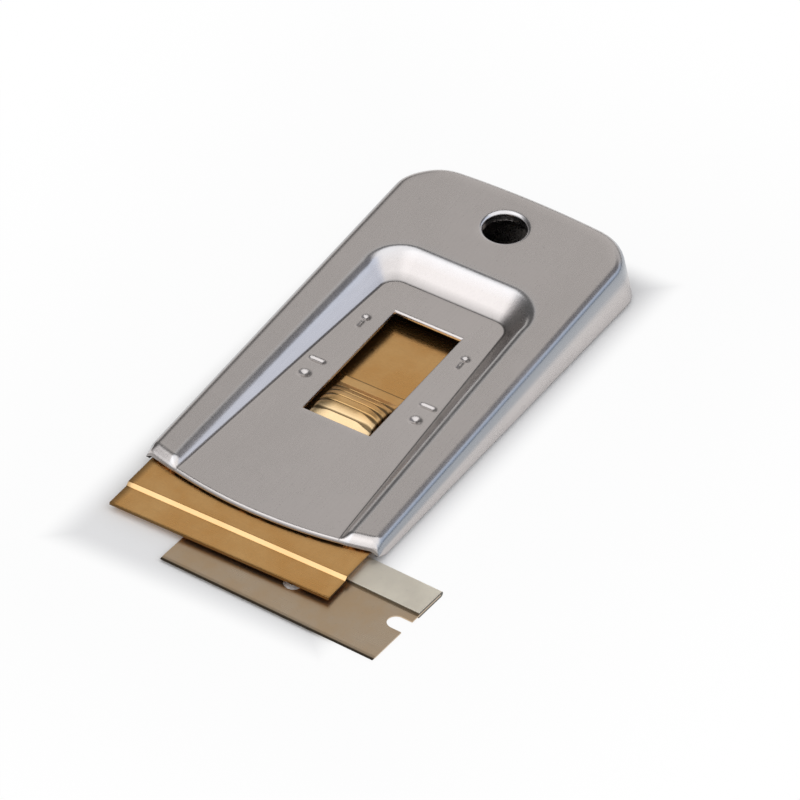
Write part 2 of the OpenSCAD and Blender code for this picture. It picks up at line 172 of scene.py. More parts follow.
class Value:
    """A socket that takes part in arithmetic; each operation adds a Math node."""

    def __init__(self, finish, socket):
        self.finish = finish
        self.socket = socket

    def math(self, operation, first, second=None):
        inputs = {0: first} if second is None else {0: first, 1: second}
        return self.finish.node("ShaderNodeMath", {"operation": operation}, inputs)

    def __add__(self, other):
        return self.math("ADD", self, other)

    def __radd__(self, other):
        return self.math("ADD", other, self)

    def __sub__(self, other):
        return self.math("SUBTRACT", self, other)

    def __rsub__(self, other):
        return self.math("SUBTRACT", other, self)

    def __mul__(self, other):
        return self.math("MULTIPLY", self, other)

    def __truediv__(self, other):
        return self.math("DIVIDE", self, other)

    def ramp(self, low, high):
        """0 below low, 1 above high, and smooth between."""
        return self.finish.node(
            "ShaderNodeMapRange",
            {"interpolation_type": "SMOOTHSTEP", "clamp": True},
            {"Value": self, "From Min": low, "From Max": high, "To Min": 0.0, "To Max": 1.0},
            "Result",
        )


# Sockets of the Mix node that mixes colours
MIX_FIRST = 6
MIX_SECOND = 7
MIX_RESULT = 2


class Nodes:
    """A node tree that is written as expressions."""

    def __init__(self, tree, output):
        self.tree = tree
        self.tree.nodes.clear()
        self.output = self.tree.nodes.new(output)

    def node(self, kind, settings=None, inputs=None, output=0):
        """Adds a node: its settings first, then the values or links of its sockets."""
        made = self.tree.nodes.new(kind)
        for key, value in (settings or {}).items():
            setattr(made, key, value)
        for key, value in (inputs or {}).items():
            if isinstance(value, Value):
                self.tree.links.new(value.socket, made.inputs[key])
            else:
                made.inputs[key].default_value = value
        return Value(self, made.outputs[output])

    def mix(self, factor, first, second):
        """Mixes two colours."""
        settings = {"data_type": "RGBA", "clamp_factor": True}
        inputs = {"Factor": factor, MIX_FIRST: first, MIX_SECOND: second}
        return self.node("ShaderNodeMix", settings, inputs, MIX_RESULT)

    def close(self, surface):
        """Ends the tree in a shader."""
        self.tree.links.new(surface.socket, self.output.inputs["Surface"])


class Finish(Nodes):
    """A material and the nodes that give it its look."""

    def __init__(self, name):
        self.material = bpy.data.materials.new(name)
        self.material.use_nodes = True
        super().__init__(self.material.node_tree, "ShaderNodeOutputMaterial")

    def place(self):
        """Object coordinates, in metres of the part's frame."""
        return self.node("ShaderNodeTexCoord", output="Object")

    def noise(self, x, y, z, detail=3.0, roughness=0.55):
        """Noise with so many cells a millimetre along each axis."""
        inputs = {0: self.place(), 1: (x / MM, y / MM, z / MM)}
        cells = self.node("ShaderNodeVectorMath", {"operation": "MULTIPLY"}, inputs, "Vector")
        inputs = {"Vector": cells, "Scale": 1.0, "Detail": detail, "Roughness": roughness}
        return self.node("ShaderNodeTexNoise", {"noise_dimensions": "3D"}, inputs, "Fac")

    def axis(self, name):
        """One object coordinate in millimetres."""
        split = self.node("ShaderNodeSeparateXYZ", None, {"Vector": self.place()}, name)
        return split / MM

    def attribute(self, name):
        """A value painted on the piece's vertices."""
        return self.node("ShaderNodeAttribute", {"attribute_name": name}, None, "Fac")

    def mottle(self, noise, colour, low, high):
        """Two tones of a colour, spread by a noise."""
        return self.mix(noise.ramp(0.3, 0.7), shade(colour, low), shade(colour, high))

    def marked(self, base, name, share, colour):
        """A colour over the base where the piece is marked."""
        return self.mix(self.attribute(name) * share, base, colour)

    def metal(self, colour, roughness, height, relief):
        """Closes the material with a metal surface that has so many millimetres of relief."""
        inputs = {"Height": height, "Distance": relief * MM, "Strength": 1.0}
        normal = self.node("ShaderNodeBump", None, inputs, "Normal")
        inputs = {"Base Color": colour, "Roughness": roughness, "Normal": normal, "Metallic": 1.0}
        self.close(self.node("ShaderNodeBsdfPrincipled", None, inputs))
        return self.material


def shade(colour, factor=1.0):
    """A colour made lighter or darker."""
    return tuple(min(1.0, c * factor) for c in colour[:3]) + (1.0,)


def tumbled_steel(name, colour, worn=False):
    """Satin steel with a tumbled grain and rolling streaks; worn, it also shows the shell's marks."""
    finish = Finish(name)
    cloud = finish.noise(0.09, 0.07, 0.09)
    grain = finish.noise(3.1, 2.6, 3.1, 2.0, 0.6)
    streak = finish.noise(4.2, 0.045, 4.2, 3.0, 0.65)
    specks = finish.noise(1.4, 1.2, 1.4, 1.0).ramp(0.69, 0.78)
    base = finish.mottle(cloud * 0.5 + grain * 0.2 + streak * 0.3, colour, 0.93, 1.07)
    base = finish.mix(specks * 0.25, base, shade(colour, 0.72))
    rough = 0.17 + cloud * 0.1 + grain * 0.08 + streak * 0.04
    if worn:
        looks = look("finishes")
        # Rubbed wear with a painted highlight on the brows, folds and the hang hole's mouth
        rub_and_highlight = finish.attribute("wear_and_highlight") * (0.55 + finish.noise(0.5, 0.35, 0.5) * 0.9) * looks.wear_and_highlight
        # Painted shade: the sheet's inside and its cut edges made nearly black
        inside_and_edge_shade = finish.attribute("back") + finish.attribute("cut")
        base = finish.mix(rub_and_highlight, base, shade(looks.rubbed_and_highlight))
        # Painted shade on the walls, strongest below the fold
        base = finish.marked(base, "draw", 0.9, shade(looks.drawn))
        # Painted shade in the creases, along the wall's foot and under the front rolls
        base = finish.marked(base, "painted_shade", 0.65, shade(colour, 0.25))
        base = finish.mix(inside_and_edge_shade * 0.9, base, shade(colour, 0.08))
        rough = rough - rub_and_highlight * 0.1 + inside_and_edge_shade * 0.4
    height = grain * 0.55 + streak * 0.25 + finish.noise(0.35, 0.3, 0.35, 2.0) * 0.9
    return finish.metal(base, rough, height, 0.012)


def brass_plate(name, colour, dark, dull=0.0):
    """Thin brass plating with cloudy tarnish and drawing lines; pale where rubbed wear with a painted
    highlight is marked, dark with painted shade where an attribute marks it.
    """
    finish = Finish(name)
    cloud = finish.noise(0.13, 0.1, 0.13, 3.0, 0.6)
    grain = finish.noise(2.4, 2.2, 2.4, 2.0, 0.6)
    drawn = finish.noise(0.06, 3.6, 3.6, 3.0, 0.6)
    warm = (colour[0] * 0.98, colour[1] * 0.88, colour[2] * 0.74, 1.0)
    base = finish.mix(cloud.ramp(0.32, 0.68), shade(colour, 1.03), warm)
    base = finish.mix(grain.ramp(0.35, 0.75) * 0.3, base, shade(colour, 0.82))
    # Pale brass where rubbed wear with a painted highlight is marked
    base = finish.marked(base, "rubbed_and_highlight", 0.85, shade(look("finishes").pale))
    # Painted shade where the named attribute marks it: the slide's cut edges, the grip's grooves and rear
    # edge
    base = finish.marked(base, dark, 0.85, shade(colour, 0.12))
    rough = 0.17 + dull + cloud * 0.1 + drawn * 0.08
    return finish.metal(base, rough, grain * 0.5 + drawn * 0.4, 0.01)


def oiled_blade(name, colour):
    """Blade strip: fine cross grinding, an oil film in drifts and painted shade along the ground edge."""
    finish = Finish(name)
    drift = finish.noise(0.16, 0.12, 0.16, 4.0, 0.6)
    ground = finish.noise(0.05, 5.5, 0.05, 3.0, 0.6)
    fleck = finish.noise(1.8, 1.8, 1.8, 2.0)
    tan = (colour[0] * 1.08, colour[1] * 0.98, colour[2] * 0.84, 1.0)
    base = finish.mix(drift.ramp(0.3, 0.7), shade(colour, 1.05), tan)
    base = finish.mix(fleck.ramp(0.6, 0.8) * 0.3, base, shade(colour, 0.75))
    across = Vector((-math.sin(BLADE_TURN), math.cos(BLADE_TURN)))
    depth = (finish.axis("X") - BLADE_PLACE[0]) * across.x
    depth = depth + (finish.axis("Y") - BLADE_PLACE[1] + ORIGIN_Y) * across.y
    # Painted shadow and reflection along the front edge: the shade under the strip's raised edge
    base = finish.mix((1.0 - depth.ramp(*GROUND_EDGE_SHADE)) * 0.92, base, shade(colour, 0.06))
    rough = 0.2 + drift * 0.12 + ground * 0.06
    return finish.metal(base, rough, ground * 0.6 + fleck * 0.3, 0.008)


def folded_strip(name, colour):
    """Pale satin strip of the blade's spine, with rolling lines along it."""
    finish = Finish(name)
    cloud = finish.noise(0.2, 0.16, 0.2, 3.0, 0.6)
    rolled = finish.noise(0.08, 4.0, 4.0, 3.0, 0.6)
    fleck = finish.noise(2.2, 2.2, 2.2, 2.0)
    base = finish.mottle(cloud, colour, 0.94, 1.05)
    base = finish.mix(fleck.ramp(0.58, 0.8) * 0.3, base, shade(colour, 0.8))
    # Painted shade on the end faces and the front face
    base = finish.marked(base, "cut", 0.9, shade(colour, 0.08))
    rough = 0.42 + cloud * 0.1 + rolled * 0.1
    return finish.metal(base, rough, rolled * 0.6 + fleck * 0.4, 0.01)


def hard_wire(name, colour):
    """Small hardware: tempered strip and headed wire."""
    finish = Finish(name)
    grain = finish.noise(4.0, 4.0, 4.0, 2.0)
    base = finish.mottle(finish.noise(0.5, 0.5, 0.5), colour, 0.88, 1.1)
    return finish.metal(base, 0.3 + grain * 0.14, grain, 0.006)


# Mesh helpers: pieces are drawn in millimetres from the shell's front corners

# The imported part's origin lies this far behind the shell's front corners
ORIGIN_Y = 41.4
TO_PART = Matrix.Diagonal((MM, MM, MM, 1.0)) @ Matrix.Translation((0.0, -ORIGIN_Y, 0.0))


def lerp(first, second, share):
    return first + (second - first) * share


def steps(first, second, count):
    """count + 1 even values from first to second."""
    return [lerp(first, second, i / count) for i in range(count + 1)]


def smooth(edge0, edge1, value):
    share = min(1.0, max(0.0, (value - edge0) / (edge1 - edge0)))
    return share * share * (3.0 - 2.0 * share)


def chain(bm, points):
    """A chain of vertices and edges through some points."""
    verts = [bm.verts.new(p) for p in points]
    for first, second in zip(verts, verts[1:]):
        bm.edges.new((first, second))
    return verts


def next_chain(bm, verts, points, closed=False):
    """Extrudes a chain of vertices to a new row of points."""
    ends = verts[1:] + verts[:1] if closed else verts[1:]
    edges = [bm.edges.get((a, b)) for a, b in zip(verts, ends)]
    made = bmesh.ops.extrude_edge_only(bm, edges=edges)["geom"]
    fresh = {v for v in made if isinstance(v, bmesh.types.BMVert)}
    row = []
    for vert in verts:
        twin = next(e.other_vert(vert) for e in vert.link_edges if e.other_vert(vert) in fresh)
        row.append(twin)
    for vert, point in zip(row, points):
        vert.co = point
    return row


def mark_sharp(bm, degrees):
    """Smooth faces, with a crease at every edge that turns by more than an angle."""
    limit = math.radians(degrees)
    for face in bm.faces:
        face.smooth = True
    for edge in bm.edges:
        if len(edge.link_faces) != 2 or edge.calc_face_angle(0.0) > limit:
            edge.smooth = False


def bevel(bm, edges, width, segments):
    bmesh.ops.bevel(
        bm, geom=edges, offset=width, offset_type="OFFSET", segments=segments, profile=0.5,
        affect="EDGES", material=-1, clamp_overlap=True,
    )


def break_edges(bm, degrees, width):
    """A small bevel along every edge that turns by more than an angle."""
    limit = math.radians(degrees)
    edges = [e for e in bm.edges if len(e.link_faces) == 2 and e.calc_face_angle(0.0) > limit]
    bevel(bm, edges, width, 2)


def thicken(bm, thickness):
    """Gives a sheet its thickness, and marks its back and its cut edges for the finish, which darkens
    them: painted shade, on the cut edges also raw sheared steel.
    """
    skin = {v.co.to_tuple(4) for v in bm.verts}
    bmesh.ops.solidify(bm, geom=bm.faces[:], thickness=thickness)
    back = bm.faces.layers.float.new("back")
    cut = bm.faces.layers.float.new("cut")
    for face in bm.faces:
        share = sum(v.co.to_tuple(4) in skin for v in face.verts) / len(face.verts)
        face[back] = 1.0 if share < 0.01 else 0.0
        face[cut] = 1.0 if 0.01 < share < 0.99 else 0.0
    return cut


def finish_piece(bm, name, material, body, nodes, crease=35.0):
    """Turns a bmesh in millimetres into a piece that stands for some nodes."""
    bmesh.ops.transform(bm, matrix=TO_PART, verts=bm.verts)
    mark_sharp(bm, crease)
    mesh = bpy.data.meshes.new(name)
    bm.to_mesh(mesh)
    bm.free()
    mesh.materials.append(material)
    piece = bpy.data.objects.new(name, mesh)
    bpy.context.scene.collection.objects.link(piece)
    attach(piece, body)
    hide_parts(*nodes)
    return piece


def paint_node(node, material):
    """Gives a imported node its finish."""
    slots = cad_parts[node].data.materials
    slots.clear()
    slots.append(material)


# The pressed shell

# Largest part of the slope round the panel that its two bends take, and the rows of each bend
BEND_SHARE = 0.85
CREASE_ROWS = 6
BROW_ROWS = 9


class ShellForm:
    """Plan and heights of the shell, in millimetres from its front corners."""

    length = SHELL_HIGH.y + ORIGIN_Y
    half = (SHELL_HIGH.x - SHELL_LOW.x) / 2
    lift = SHELL_LOW.z
    rim_front = 4.0
    rim_rear = 9.8
    lean = math.radians(3.5)
    corner = 5.0
    rear_bow = 0.8
    front_bow = 3.1
    cut_length = 3.2
    cut_height = 1.25
    cut_start = -0.9
    panel_front = 3.05
    panel_rear_height = 4.82
    panel_rear = 54.9
    front_half = 14.6
    rear_half = 11.0
    panel_corner = 2.8
    side_run = 1.0
    rear_run = 1.35
    window_half = 6.0
    window_front = 21.2
    window_rear = 48.3
    hole_place = 70.9
    hole_radius = 3.5
    collar = 1.6
    lip_low = 2.45
    tip_low = 1.7
    # Punched dents on each side: the first click with its bar, and the drawn-back click with its stroke
    click_x, click_y, bar_y = 9.9, 28.1, 31.75
    rest_x, rest_y, stroke_y = 8.9, 44.45, 42.75
    # Radius and depth of a round dent; half length, half width and depth of a bar
    click_size, rest_size = (0.95, 0.4), (0.7, 0.32)
    bar_size, stroke_size = (1.45, 0.55, 0.27), (1.0, 0.3, 0.13)

    def __init__(self, sizes):
        for key in sizes.__annotations__:
            setattr(self, key, getattr(sizes, key) / MM)
        self.rim_slope = (self.rim_rear - self.rim_front) / self.length
        run = self.panel_rear + self.front_bow
        self.panel_slope = (self.panel_rear_height - self.panel_front) / run
        self.front_radius = (self.half**2 + self.front_bow**2) / (2 * self.front_bow)
        corner_x = self.half - self.corner
        self.rear_radius = (corner_x**2 + self.rear_bow**2) / (2 * self.rear_bow)
        self.rear_centre = Vector((0.0, self.length - self.rear_radius))
        self.foot_plan = self.corner_plan(self.corner)
        self.fold_plan = self.corner_plan(self.top_corner)
        self.fan = Vector((self.rear_half - self.panel_corner, self.panel_rear - self.panel_corner))
        side = self.front_half - self.rear_half
        self.taper = math.atan2(side, self.fan.y + self.front_bow)
        way = Vector((math.cos(self.taper), math.sin(self.taper)))
        self.fan_start = self.fan + self.panel_corner * way

    def rim(self, y):
        return self.rim_front + self.rim_slope * y

    def panel(self, y):
        return self.panel_front + self.panel_slope * (y + self.front_bow)

    def depth(self, y):
        return self.rim(y) - self.panel(y)

    def front(self, x):
        """The bowed front edge."""
        return self.front_radius - self.front_bow - math.sqrt(self.front_radius**2 - x * x)

    def foot(self, y):
        """Lower edge of the walls, cut up at the front corners."""
        fall = self.cut_height / self.cut_length
        return max(self.lift, self.lift + self.cut_height - fall * (y - self.cut_start))

    def panel_edge(self, y):
        """Half width of the sunk panel on its straight sides."""
        return self.fan_start.x + (self.fan_start.y - y) * math.tan(self.taper)

    def corner_plan(self, radius):
        """Centre, radius and end angle of a rear corner that runs into the bowed rear edge."""
        x = self.half - radius
        y = math.sqrt((self.rear_radius - radius) ** 2 - x * x)
        return self.rear_centre + Vector((x, y)), radius, math.atan2(y, x)

    def outer(self, plan, stage, share):
        """A place on a plan and its outward angle, at a share of the side, the corner or the rear edge."""
        centre, radius, end = plan
        if stage == 0:
            return Vector((self.half, lerp(self.fan_start.y, centre.y, share))), 0.0
        angle = lerp(0.0, end, share)
        if stage == 2:
            centre, radius = self.rear_centre, self.rear_radius
            angle = lerp(end, math.pi / 2, share)
        return centre + radius * Vector((math.cos(angle), math.sin(angle))), angle

    def stages(self, x):
        """Lengths of the foot's path from the fan's first row to a place on the rear edge."""
        centre, radius, end = self.foot_plan
        rear = self.rear_radius * (math.acos(x / self.rear_radius) - end)
        return centre.y - self.fan_start.y, radius * end, rear

    def along_foot(self, run):
        """Stage of the foot's path and the share of it, so far from the fan's first row."""
        for stage, length in enumerate(self.stages(0.0)):
            if run < length or stage == 2:
                return stage, run / length
            run -= length

    def slope_rows(self, run, height):
        """Rounded S from the panel to the rim: pairs of distance out and share of the height."""
        angle = math.atan2(height, run)
        cos, sin = math.cos(angle), math.sin(angle)
        half = math.tan(angle / 2)
        room = BEND_SHARE * math.hypot(run, height) / half
        shrink = min(1.0, room / (self.panel_radius + self.brow_radius))
        crease, brow = self.panel_radius * shrink, self.brow_radius * shrink
        low, high = crease * half, brow * half
        rows = []
        for a in steps(0.0, angle, CREASE_ROWS):
            rows.append((crease * math.sin(a) - low, crease * (1 - math.cos(a))))
        first = Vector(rows[-1])
        last = Vector((run - high * cos, height - high * sin))
        rows += [tuple(first.lerp(last, s)) for s in (0.33, 0.67)]
        for a in steps(angle, 0.0, BROW_ROWS):
            rows.append((run + high - brow * math.sin(a), height - brow * (1 - math.cos(a))))
        return [(d, h / height) for d, h in rows]

    def dent(self, x, y):
        """Depth of the punched dents at a place on the panel."""
        x = abs(x)
        return max(
            round_dent(x - self.click_x, y - self.click_y, *self.click_size),
            bar_dent(x - self.click_x, y - self.bar_y, *self.bar_size),
            round_dent(x - self.rest_x, y - self.rest_y, *self.rest_size),
            bar_dent(y - self.stroke_y, x - self.rest_x, *self.stroke_size),
        )


def dish(share):
    """Section of a punched dent: flat round bottom, soft edge; share is 1 at its edge."""
    return 0.5 + 0.5 * math.cos(math.pi * min(1.0, share / 1.25))


def round_dent(dx, dy, radius, depth):
    return depth * dish(math.hypot(dx, dy) / radius)


def bar_dent(along, across, half_length, half_width, depth):
    beyond = max(0.0, abs(along) - half_length + half_width)
    return depth * dish(math.hypot(beyond, across) / half_width)


# Rows of the shell along its side: nose, plain front, window zone, run-up to the corner fan
LIP_RUN = 1.0
LIP_ROWS = 12
NOSE_RUN = 3.8
NOSE_ROWS = 18
PLAIN_END = 12.0
FRONT_ROWS = 9
FINE_END = 46.0
FINE_ROWS = 124
RUN_UP_ROWS = 14
# Where the inner ends of the rows start to lag behind, and where the last one ends
LAG_START = 40.0
LAG_END = 46.8


def side_rows(form):
    """Row places along the side: (nose run, share of the plain front, plain y)."""
    runs = steps(0.0, LIP_RUN, LIP_ROWS) + steps(LIP_RUN, NOSE_RUN, NOSE_ROWS)[1:]
    places = steps(PLAIN_END, form.window_front, FRONT_ROWS)[1:]
    places += steps(form.window_front, FINE_END, FINE_ROWS)[1:]
    places += steps(FINE_END, form.fan_start.y, RUN_UP_ROWS)[1:]
    rows = [(run, 0.0, 0.0) for run in runs]
    rows += [(NOSE_RUN, share, 0.0) for share in steps(0.0, 1.0, FRONT_ROWS)[1:]]
    return rows + [(NOSE_RUN, 1.0, y) for y in places]


# Angles at which the front edges of the panel and the rails stand
LIP_ANGLE = math.radians(90)
NOSE_ANGLE = math.radians(70)
# Between these lengths along the sheet the dark cut edge below the rolls fades: raw sheared edge with
# painted shade of the gap beneath it
CUT_EDGE_SHADE = (0.45, 0.60)


def rolled(front, run, radius, turn, straight, surface):
    """Place and height, so far along a sheet that climbs from its front edge and rolls onto a surface."""
    end = front + straight * math.cos(turn) + radius * math.sin(turn)
    beyond = run - straight - radius * turn
    if beyond >= 0.0:
        return end + beyond, surface(end + beyond)
    angle = min(turn, -beyond / radius)
    climb = max(0.0, straight - run)
    y = end - radius * math.sin(angle) - climb * math.cos(turn)
    return y, surface(end) - radius * (1 - math.cos(angle)) - climb * math.sin(turn)


def nose_point(form, x, run, share, plain, rail):
    """Place along the side and height of a row at x; rail is 0 on the panel and 1 on the rim."""
    if share >= 1.0:
        y = plain if plain else PLAIN_END
        return y, lerp(form.panel(y), form.rim(y), rail)
    front = form.front(x)
    low = lerp(form.lip_low, form.tip_low, smooth(SLIDE_HIGH.x, form.half, x))
    nose = form.nose_radius
    drop = form.rim(front + nose) - nose * (1 - math.cos(NOSE_ANGLE)) - low
    straight = max(0.0, drop / math.sin(NOSE_ANGLE))
    panel_y, panel_z = rolled(front, run, form.lip_radius, LIP_ANGLE, 0.0, form.panel)
    rail_y, rail_z = rolled(front, run, nose, NOSE_ANGLE, straight, form.rim)
    y = lerp(panel_y, rail_y, rail)
    z = lerp(panel_z, rail_z, rail)
    if share > 0.0:
        y = lerp(y, PLAIN_END, share)
        z = lerp(form.panel(y), form.rim(y), rail)
    return y, z


PANEL_COLUMNS = 26
RAIL_COLUMNS = 14
FOLD_COLUMNS = 8
WALL_SHARES = (0.2, 0.4, 0.6, 0.8, 0.95, 1.0)
FAN_ROWS = 60
REAR_ROWS = 16
# Largest part of the wall's height that the fold takes
FOLD_SHARE = 0.75
# How far the wall has turned to the rear where the rear fold is whole
REAR_TURN = 0.7
# Rounds that settle the fold's inset on the sloping rim
INSET_ROUNDS = 3
# Where the fan's last row meets the window's rear edge, from the middle
FAN_INNER = 4.3
# Share of the panel behind the window that the first column takes, for the rounded edge
EDGE_SHARE = 0.09
# What is painted on the vertices, each from 0 to 1
# The first mark is rubbed wear with a painted highlight, the second painted shade on the walls, the third
# painted shade in creases, at the wall's foot and below the front rolls
MARKS = ("wear_and_highlight", "draw", "painted_shade")
PLAIN = (0.0, 0.0, 0.0)


def slope_mark(rise):
    """Marks on the slope round the panel: rubbed wear with a painted highlight on the brow, painted shade
    in the crease.
    """
    wear_and_highlight = smooth(0.6, 1.0, rise) * (1.0 if rise < 0.999 else 0.3)
    return wear_and_highlight, 0.0, 1.0 - smooth(0.02, 0.08, rise) if rise > 0.0 else 0.0


def wall_mark(share):
    """Marks on the wall: painted shade, strongest below the fold and fading towards the foot, and a
    painted contact shadow along its cut foot.
    """
    return 0.0, lerp(1.0, 0.05, smooth(0.1, 0.5, share)), 0.9 if share == 1.0 else 0.0


def fold_mark(angle):
    """Marks on the fold between rim and wall: rubbed wear with a painted highlight in its middle, painted
    shade below.
    """
    return 0.35 * max(0.0, math.sin(2 * angle)), smooth(0.45, 0.9, angle), 0.0


def side_station(form, row):
    """Points and marks across the shell on one side row, from the window's side to the wall's foot."""
    run, share, plain = row
    behind_front = share >= 1.0 and plain
    y_guess = plain if behind_front else lerp(form.front(form.front_half) + run, PLAIN_END, share)
    edge = form.panel_edge(y_guess)
    height = form.depth(y_guess)
    slope = form.slope_rows(form.side_run * height, height)
    lag = smooth(LAG_START, form.fan_start.y, y_guess) * (form.fan_start.y - LAG_END)
    line = []

    def place(x, rail):
        return nose_point(form, x, run, share, plain, rail)

    for s in steps(0.0, 1.0, PANEL_COLUMNS)[:-1]:
        x = lerp(form.window_half, edge + slope[0][0], s)
        y, z = place(x, 0.0)
        y -= lag * (1.0 - s)
        if behind_front:
            z = form.panel(y) - form.dent(x, y)
        line.append((Vector((x, y, z)), PLAIN))
    for distance, rise in slope:
        x = edge + distance
        line.append((Vector((x, *place(x, rise))), slope_mark(rise)))
    brow = line[-1][0]
    y, z = place(form.half, 1.0)
    fold = min(form.fold_radius, FOLD_SHARE * (z - form.foot(y)))
    tan = math.tan(form.lean)
    centre_x = form.half - tan * (z - fold - form.lift) - fold / math.cos(form.lean)
    for s in steps(0.0, 1.0, RAIL_COLUMNS)[1:]:
        x = lerp(brow.x, centre_x, s)
        line.append((Vector((x, *place(x, 1.0))), PLAIN))
    for a in steps(0.0, math.pi / 2 - form.lean, FOLD_COLUMNS)[1:]:
        x = centre_x + fold * math.sin(a)
        y, top = place(min(x, form.half), 1.0)
        line.append((Vector((x, y, top - fold * (1 - math.cos(a)))), fold_mark(a)))
    end = line[-1][0]
    own_y = end.y
    if share <= 0.0:
        whole_y, _ = nose_point(form, form.half, NOSE_RUN, 0.0, 0.0, 1.0)
        own_y = lerp(form.front(form.half), whole_y, run / NOSE_RUN)
    for s in WALL_SHARES:
        y = lerp(end.y, own_y, s)
        z = lerp(end.z, form.foot(y), s)
        line.append((Vector((end.x + (end.z - z) * tan, y, z)), wall_mark(s)))
    if share <= 0.0:
        # The sheet's cut edge under the rolls is painted dark: raw sheared edge with painted shade of the
        # gap beneath
        dark = 1.0 - smooth(*CUT_EDGE_SHADE, run)
        line = [(point, (wear_and_highlight, draw, max(painted_shade, dark))) for point, (wear_and_highlight, draw, painted_shade) in line]
    return line


def rear_station(form, angle, inner, edge, run):
    """The same behind the corner: out from the window's rear, up the slope and over to the wall."""
    way = Vector((math.cos(angle), math.sin(angle)))
    turn = (way.y - math.sin(form.taper)) / (1.0 - math.sin(form.taper))
    slope_run = lerp(form.side_run, form.rear_run, turn)
    gain = form.rim_slope - form.panel_slope
    height = form.depth(edge.y) / (1.0 - gain * slope_run * way.y)
    slope = form.slope_rows(slope_run * height, height)
    line = []
    first = edge + way * slope[0][0]
    gap = lerp(1.0 / PANEL_COLUMNS, EDGE_SHARE, turn)
    for s in [0.0] + steps(gap, 1.0, PANEL_COLUMNS - 1)[:-1]:
        at = inner.lerp(first, s)
        line.append((Vector((*at, form.panel(at.y) - form.dent(*at))), PLAIN))
    for distance, rise in slope:
        at = edge + way * distance
        z = lerp(form.panel(at.y), form.rim(at.y), rise)
        line.append((Vector((*at, z)), slope_mark(rise)))
    brow = Vector(line[-1][0].xy)
    stage, share = form.along_foot(run)
    foot, _ = form.outer(form.foot_plan, stage, share)
    edge, heading = form.outer(form.fold_plan, stage, share)
    out = Vector((math.cos(heading), math.sin(heading)))
    tan = math.tan(form.lean)
    fold = lerp(form.fold_radius, form.rear_fold, smooth(0.0, REAR_TURN, out.y))
    inset = 0.0
    for _ in range(INSET_ROUNDS):
        centre_z = form.rim(edge.y - out.y * inset) - fold
        inset = tan * (centre_z - form.lift) + fold / math.cos(form.lean)
    start = edge - out * inset
    for s in steps(0.0, 1.0, RAIL_COLUMNS)[1:]:
        at = brow.lerp(start, s)
        line.append((Vector((*at, form.rim(at.y))), PLAIN))
    tilt = math.atan(form.rim_slope * out.y)
    lean = math.atan(tan + (foot - edge).dot(out) / (centre_z - form.lift))
    centre = Vector((*start, centre_z))
    for a in steps(-tilt, math.pi / 2 - lean, FOLD_COLUMNS)[1:]:
        side = out * (fold * math.sin(a))
        line.append((centre + Vector((*side, fold * math.cos(a))), fold_mark(a)))
    end = line[-1][0]
    for s in WALL_SHARES:
        line.append((end.lerp(Vector((*foot, form.lift)), s), wall_mark(s)))
    return line


def shell_stations(form):
    """All the stations of the right half, from the front edge round to the middle of the rear."""
    stations = [side_station(form, row) for row in side_rows(form)]
    corner = Vector((form.window_half, form.window_rear))
    first_inner = Vector(stations[-1][0][0].xy)
    last_inner = Vector((FAN_INNER, form.window_rear))
    rear_start = form.fan.x
    whole = sum(form.stages(rear_start))
    for i in range(1, FAN_ROWS + 1):
        share = i / FAN_ROWS
        angle = lerp(form.taper, math.pi / 2, share)
        edge = form.fan + form.panel_corner * Vector((math.cos(angle), math.sin(angle)))
        if share <= 0.5:
            inner = first_inner.lerp(corner, share * 2)
        else:
            inner = corner.lerp(last_inner, share * 2 - 1)
        stations.append(rear_station(form, angle, inner, edge, whole * share))
    for i in range(1, REAR_ROWS + 1):
        x = rear_start * (1 - i / REAR_ROWS)
        inner = Vector((last_inner.x * (1 - i / REAR_ROWS), form.window_rear))
        edge = Vector((x, form.panel_rear))
        stations.append(rear_station(form, math.pi / 2, inner, edge, sum(form.stages(x))))
    return stations


# Rows and columns of the deck patch round the hang hole, on each side of the middle
HOLE_ROWS = 12
HOLE_COLUMNS = 10
# Rings round the hole, as shares of the way in, the rows of its rounding and those down its collar
HOLE_RINGS = (0.4, 0.75, 1.0)
MOUTH_ROWS = 8
COLLAR_SHARES = (0.33, 0.67, 1.0)


def add_hang_hole(bm, form, strip, last):
    """Opens a patch of the rear deck and draws the hang hole's rounded collar in it."""
    patch = [
        f for f in bm.faces
        if all(last - HOLE_COLUMNS <= v[strip] <= last for v in f.verts)
    ]
    border = {e for f in patch for e in f.edges if len(set(e.link_faces) & set(patch)) == 1}
    centre = Vector((0.0, form.hole_place))

    def heading(vert):
        return math.atan2(vert.co.y - centre.y, vert.co.x - centre.x)

    row = sorted({v for e in border for v in e.verts}, key=heading)
    start = [Vector(v.co.xy) for v in row]
    ways = [Vector((math.cos(heading(v)), math.sin(heading(v)))) for v in row]
    bmesh.ops.delete(bm, geom=patch, context="FACES")
    mouth = form.hole_radius + form.hole_rounding
    for share in HOLE_RINGS:
        places = [at.lerp(centre + way * mouth, share) for at, way in zip(start, ways)]
        row = next_chain(bm, row, [(p.x, p.y, form.rim(p.y)) for p in places], closed=True)
    layer = bm.verts.layers.float["wear_and_highlight"]
    bend = form.hole_rounding
    # The mouth's rounding gets rubbed wear with a painted highlight
    rows = [(bend * (1 - math.sin(a)), bend * (1 - math.cos(a)), 1.0)
            for a in steps(0.0, math.pi / 2, MOUTH_ROWS)[1:]]
    rows += [(0.0, lerp(bend, form.collar, s), 0.0) for s in COLLAR_SHARES]
    for out, drop, wear_and_highlight in rows:
        places = [centre + way * (form.hole_radius + out) for way in ways]
        row = next_chain(bm, row, [(p.x, p.y, form.rim(p.y) - drop) for p in places], closed=True)
        for vert in row:
            vert[layer] = wear_and_highlight


# Tolerances in millimetres: for a place on a line, and for vertices that are one
NEAR = 0.001
MERGE = 0.0005
